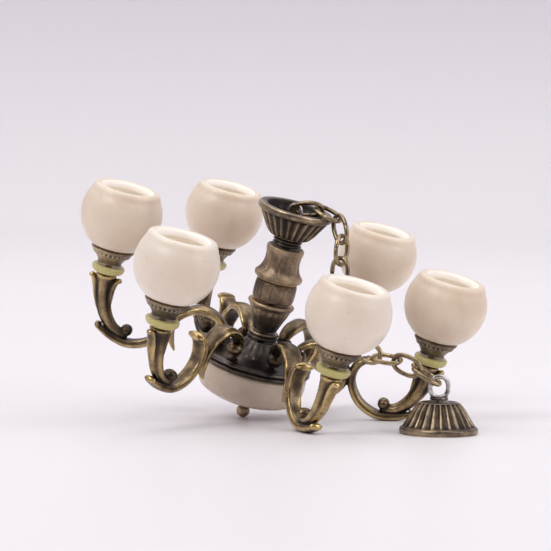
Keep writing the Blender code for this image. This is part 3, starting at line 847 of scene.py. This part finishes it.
def build_column(stand, looks):
    """The pieces threaded on the rod, from the finial up to the hanging eye."""
    upright = Matrix.Identity(4)
    lift = Matrix.Translation((0, 0, TOP_CUP_BOTTOM + BELL_HEIGHT))
    mouth_up = lift @ Matrix.Rotation(math.pi, 4, "X")
    for node, mesh, look, seat in (
        ("finial", finial_shape(), "umber_brass", upright),
        ("hub_cap", hub_cap_shape(), "dark_brass", upright),
        ("base_ring", rings_shape(*BASE_RING), "fluted_brass", upright),
        ("lower_baluster", lower_baluster_shape(), "umber_brass", upright),
        ("fluted_band", fluted_band_shape(), "umber_brass", upright),
        ("upper_baluster", upper_baluster_shape(), "umber_brass", upright),
        ("neck_ring", rings_shape(*NECK_RING), "dark_brass", upright),
        ("centre_rod", rod_shape(), "dark_brass", upright),
        ("top_cup", bell_shape(BORE), "fluted_brass", mouth_up),
    ):
        # inside=0.3 paints shade on the faces that look in towards the axis.
        mark_wear_and_shade(mesh, rounds=8, inside=0.3)
        # Some pieces get painted light and shade by height.
        if node in HEIGHT_LIGHT_AND_SHADE:
            shaded_by_height(mesh, *HEIGHT_LIGHT_AND_SHADE[node])
        piece(f"{node}_cast", mesh, looks[look], in_mm(stand, seat), "chandelier",
              "antique_brass", node)
    piece("ivory_dish_shell", dish_shape(), looks["ivory_dish"], in_mm(stand, upright),
          "chandelier", "ivory_resin", "ivory_dish")
    eye = Matrix.Translation((0, 0, EYE_BOTTOM)) @ Matrix.Rotation(EYE_TURN, 4, "Z")
    piece("hanging_eye_wire", upright_ring(EYE_WIDTH, EYE_HEIGHT, 0), looks["silver_wire"],
          in_mm(stand, eye), "chandelier", "silver_wire", "hanging_eye")


def build_lamps(stand, looks):
    """Six arms, each with its washer, cup, globe and pin; the two globes in front are paler."""
    # The cups get painted light, more of it towards the lip.
    cup = shaded_by_height(mark_wear_and_shade(lamp_cup_shape(), 6), *HEIGHT_LIGHT_AND_SHADE["lamp_cup"])
    pin = mark_wear_and_shade(lamp_pin_shape(), 4)
    shapes = (
        ("arm", arm_shape(), "antique_brass", "antique_brass"),
        ("washer", washer_shape(), "pale_jade", "pale_jade_resin"),
        ("lamp_cup", cup, "lamp_cup_lit_brass", "antique_brass"),
        ("globe", globe_shape(), "warm_globe", "ivory_resin"),
        ("lamp_pin", pin, "lamp_cup_lit_brass", "antique_brass"),
    )
    for i, side in enumerate(SIDES):
        turn = Matrix.Rotation(math.radians(60 * i), 4, "Z")
        spun = Matrix.Translation((LAMP_REACH, 0, 0)) @ Matrix.Rotation(LAMP_SPIN * i, 4, "Z")
        for kind, mesh, look, slot in shapes:
            seat = turn if kind == "arm" else turn @ spun
            if kind == "globe" and side.startswith("front"):
                look = "pale_globe"
            piece(f"{kind}_{side}_made", mesh, looks[look], in_mm(stand, seat), "chandelier", slot,
                  f"{kind}_{side}")


def build_chain(looks):
    link = mark_wear_and_shade(wire_ring(LINK_LENGTH, LINK_WIDTH), 4)
    for i in range(1, CHAIN_LINKS + 1):
        name = f"chain_link_{i:02d}"
        piece(f"{name}_wire", link, looks["chain_brass"], link_matrix(name), name,
              "antique_brass", name)


def build_canopy(looks):
    """The bell on the table, with its loop and collar."""
    low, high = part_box("canopy")
    seat = Matrix.Translation(((low.x + high.x) / 2, (low.y + high.y) / 2, low.z))
    # The 0.3 paints shade inside the bell, and the grades paint light and shade by height.
    bell = shaded_by_height(mark_wear_and_shade(bell_shape(CANOPY_BORE), 8, 0.3), *HEIGHT_LIGHT_AND_SHADE["canopy"])
    piece("canopy_bell", bell, looks["fluted_brass"], seat, "canopy", "antique_brass", "canopy")
    foot = seat @ Matrix.Translation((0, 0, LOOP_BOTTOM * MM)) @ Matrix.Rotation(LOOP_TURN, 4, "Z")
    piece("canopy_loop_wire", upright_ring(LOOP_WIDTH, LOOP_HEIGHT, LOOP_STEM_BOTTOM),
          looks["silver_wire"], foot, "canopy", "silver_wire", "canopy_loop")
    piece("canopy_loop_collar", mark_wear_and_shade(collar_shape(), 4), looks["dark_brass"], foot, "canopy",
          "antique_brass")


# ---- stage


def build_stage():
    """A round table top that curves up into a backdrop on every side, in millimetres."""
    flat, spacing, curve, rise, sides = 900, 60, 450, 900, 96
    table = [(radius, 0) for radius in range(spacing, flat, spacing)]
    arc = [(flat + curve * math.sin(a), curve * (1 - math.cos(a)))
           for a in np.linspace(0, math.pi / 2, 14)]
    work = bmesh.new()
    centre = work.verts.new((0, 0, 0))
    rings = [[work.verts.new((radius * math.cos(a), radius * math.sin(a), height))
              for a in np.linspace(0, 2 * math.pi, sides, endpoint=False)]
             for radius, height in (*table, *arc, (flat + curve, rise))]
    for j in range(sides):
        k = (j + 1) % sides
        work.faces.new((centre, rings[0][j], rings[0][k]))
        for lower, upper in zip(rings, rings[1:]):
            work.faces.new((lower[j], upper[j], upper[k], lower[k]))
    mesh = bpy.data.meshes.new("backdrop")
    work.to_mesh(mesh)
    work.free()
    mesh.transform(Matrix.Scale(MM, 4))
    mesh.shade_smooth()
    mesh.materials.append(table_paper())
    backdrop = bpy.data.objects.new("backdrop", mesh)
    bpy.context.scene.collection.objects.link(backdrop)


def build_flag():
    """A dark card behind the camera, unseen by it, for the metal and the globes to reflect."""
    left, right, back, low, high = -0.7, 0.7, -0.6, 0.02, 0.5
    mesh = bpy.data.meshes.new("flag")
    mesh.from_pydata([(left, back, low), (right, back, low), (right, back, high),
                      (left, back, high)], [], [(0, 1, 2, 3)])
    mesh.materials.append(Nodes("flag").finish(Base_Color=(0.1, 0.1, 0.1, 1), Roughness=0.9))
    flag = bpy.data.objects.new("flag", mesh)
    flag.visible_camera = False
    bpy.context.scene.collection.objects.link(flag)


def softbox(name, place, size, power, colour):
    light = bpy.data.lights.new(name, "AREA")
    light.shape = "RECTANGLE"
    light.size, light.size_y = size
    light.energy = power
    light.color = colour
    lamp = bpy.data.objects.new(name, light)
    lamp.location = place
    lamp.rotation_euler = (Vector(AIM) - Vector(place)).to_track_quat("-Z", "Y").to_euler()
    bpy.context.scene.collection.objects.link(lamp)


def build_lights():
    for name, settings in SOFTBOXES.items():
        softbox(name, *settings)
    world = bpy.data.worlds.new("studio")
    world.use_nodes = True
    background = world.node_tree.nodes["Background"]
    background.inputs["Color"].default_value = WORLD_COLOUR
    background.inputs["Strength"].default_value = WORLD_STRENGTH
    bpy.context.scene.world = world


def build_camera():
    data = bpy.data.cameras.new("camera")
    data.lens, data.sensor_width = LENS, SENSOR
    data.clip_start, data.clip_end = 0.01, 10
    camera = bpy.data.objects.new("camera", data)
    camera.location = Vector(CAMERA_PLACE) * MM
    camera.rotation_euler = (math.pi / 2 - CAMERA_DIP, CAMERA_ROLL, 0)
    bpy.context.scene.collection.objects.link(camera)
    bpy.context.scene.camera = camera


def build_looks():
    """Every material of the object, by name."""
    looks = {name: antique(name, *tones) for name, tones in METALS.items()}
    looks.update({name: resin(name, *tones) for name, tones in RESINS.items()})
    looks["silver_wire"] = silver_wire()
    return looks


def main():
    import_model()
    stand = column_matrix()
    looks = build_looks()
    build_column(stand, looks)
    build_lamps(stand, looks)
    build_chain(looks)
    build_canopy(looks)
    build_stage()
    build_flag()
    build_lights()
    build_camera()
    bpy.context.scene.view_settings.view_transform = "Standard"


main()
